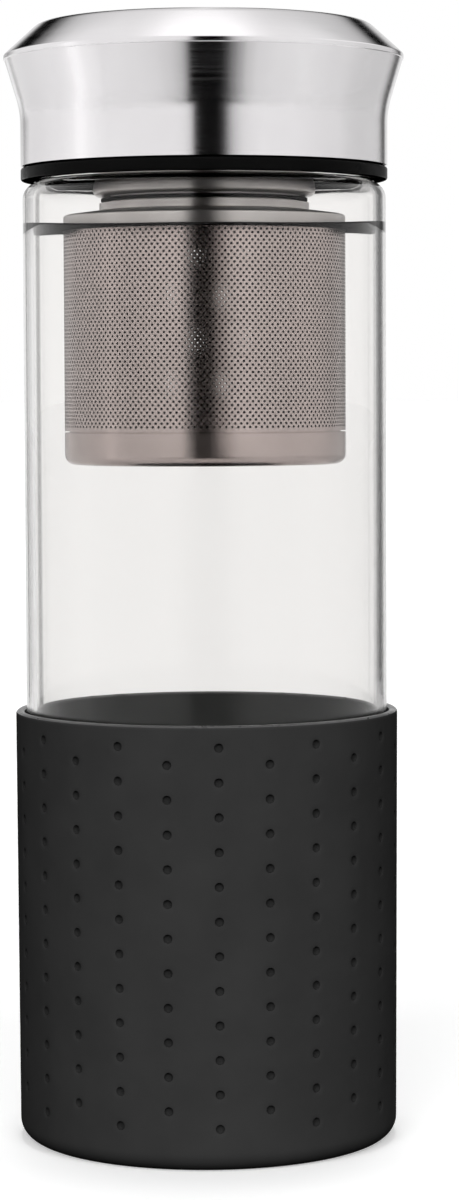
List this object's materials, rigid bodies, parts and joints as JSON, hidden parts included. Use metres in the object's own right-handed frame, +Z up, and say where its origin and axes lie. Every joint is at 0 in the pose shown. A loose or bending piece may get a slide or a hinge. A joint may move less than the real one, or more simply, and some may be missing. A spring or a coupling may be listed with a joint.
{
  "type": "glass tea infuser bottle",
  "caption": "Straight glass drinking bottle with a silicone boot, a flared steel screw lid and a perforated steel tea infuser that screws into a collar under the lid.",
  "frame": {"origin": "on the bottle's axis at the plane that the sleeve's foot stands on", "axes": "+Z up along the bottle's axis from the base to the lid; -Y is the pictured side"},
  "size_m": [0.0714, 0.0714, 0.2009],
  "materials": {
    "clear_glass": "clear, fire polished",
    "sleeve_silicone": "matte charcoal silicone",
    "brushed_steel": "satin stainless steel",
    "basket_steel": "perforated stainless sheet",
    "black_plastic": "semi-matte moulded plastic",
    "black_silicone": "smooth black silicone"
  },
  "bodies": {
    "bottle": {"glass_body": "clear_glass"},
    "sleeve": {"grip_sleeve": "sleeve_silicone"},
    "lid_seal": {"rim_gasket": "black_silicone"},
    "lid": {"cap_shell": "brushed_steel", "cap_liner": "black_plastic", "socket_ring": "brushed_steel"},
    "infuser_ring": {"infuser_gasket": "black_silicone"},
    "infuser": {"infuser_neck": "brushed_steel", "infuser_seal": "black_silicone", "infuser_wall": "basket_steel", "infuser_base_cup": "brushed_steel", "infuser_base_plate": "basket_steel"}
  },
  "joints": [
    {"name": "sleeve_slide", "type": "slide", "parent": "bottle", "child": "sleeve", "axis": [0, 0, -1], "range_m": [0, 0.075]},
    {"name": "lid_rise", "type": "slide", "parent": "bottle", "child": "lid_seal", "axis": [0, 0, 1], "range_m": [0, 0.005]},
    {"name": "lid_turn", "type": "hinge", "parent": "lid_seal", "child": "lid", "pos_m": [0, 0, 0.1843], "axis": [0, 0, 1], "range_deg": [0, 300]},
    {"name": "infuser_drop", "type": "slide", "parent": "lid", "child": "infuser_ring", "axis": [0, 0, -1], "range_m": [0, 0.006]},
    {"name": "infuser_turn", "type": "hinge", "parent": "infuser_ring", "child": "infuser", "pos_m": [0, 0, 0.1693], "axis": [0, 0, -1], "range_deg": [0, 720]}
  ],
  "couplings": [
    {"joint": "lid_rise", "follows": "lid_turn", "m_per_rad": 0.00095493},
    {"joint": "infuser_drop", "follows": "infuser_turn", "m_per_rad": 0.00047746}
  ]
}
